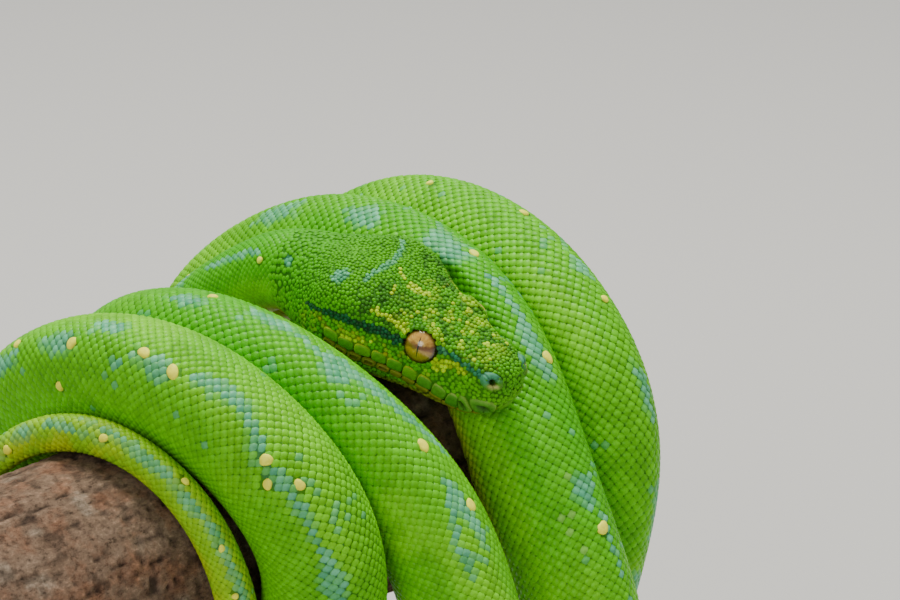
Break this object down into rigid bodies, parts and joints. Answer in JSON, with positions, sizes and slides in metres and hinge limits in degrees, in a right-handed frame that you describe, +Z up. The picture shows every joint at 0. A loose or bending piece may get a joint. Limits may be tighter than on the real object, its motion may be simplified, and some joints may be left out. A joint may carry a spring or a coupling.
{
  "type": "green tree python model on a perch",
  "caption": "Life-size green tree python resting in saddle coils over a cut length of branch, head on top of the coils, carried by short rods on a flat base.",
  "frame": {"origin": "middle of the underside of the stand's base, on the table", "axes": "+Z up; +X along the branch, away from the tail's end; the snake's head points to -Y"},
  "size_m": [0.237, 0.1623, 0.1836],
  "materials": {
    "snake_skin": "dry scaled skin with a satin sheen",
    "snake_eye": "clear gloss",
    "perch_wood": "rough bark with sawn ends",
    "stand_board": "dark satin paint",
    "stand_steel": "brushed"
  },
  "bodies": {
    "root": {"head": "snake_skin", "jaw": "snake_skin", "neck": "snake_skin", "trunk_1": "snake_skin", "trunk_2": "snake_skin", "trunk_3": "snake_skin", "trunk_4": "snake_skin", "trunk_5": "snake_skin", "trunk_6": "snake_skin", "trunk_7": "snake_skin", "trunk_8": "snake_skin", "trunk_9": "snake_skin", "trunk_10": "snake_skin", "tail_1": "snake_skin", "tail_2": "snake_skin", "eye_left": "snake_eye", "eye_right": "snake_eye", "perch": "perch_wood", "stand_base": "stand_board", "stand_rod_1": "stand_steel", "stand_rod_2": "stand_steel"}
  },
  "joints": []
}
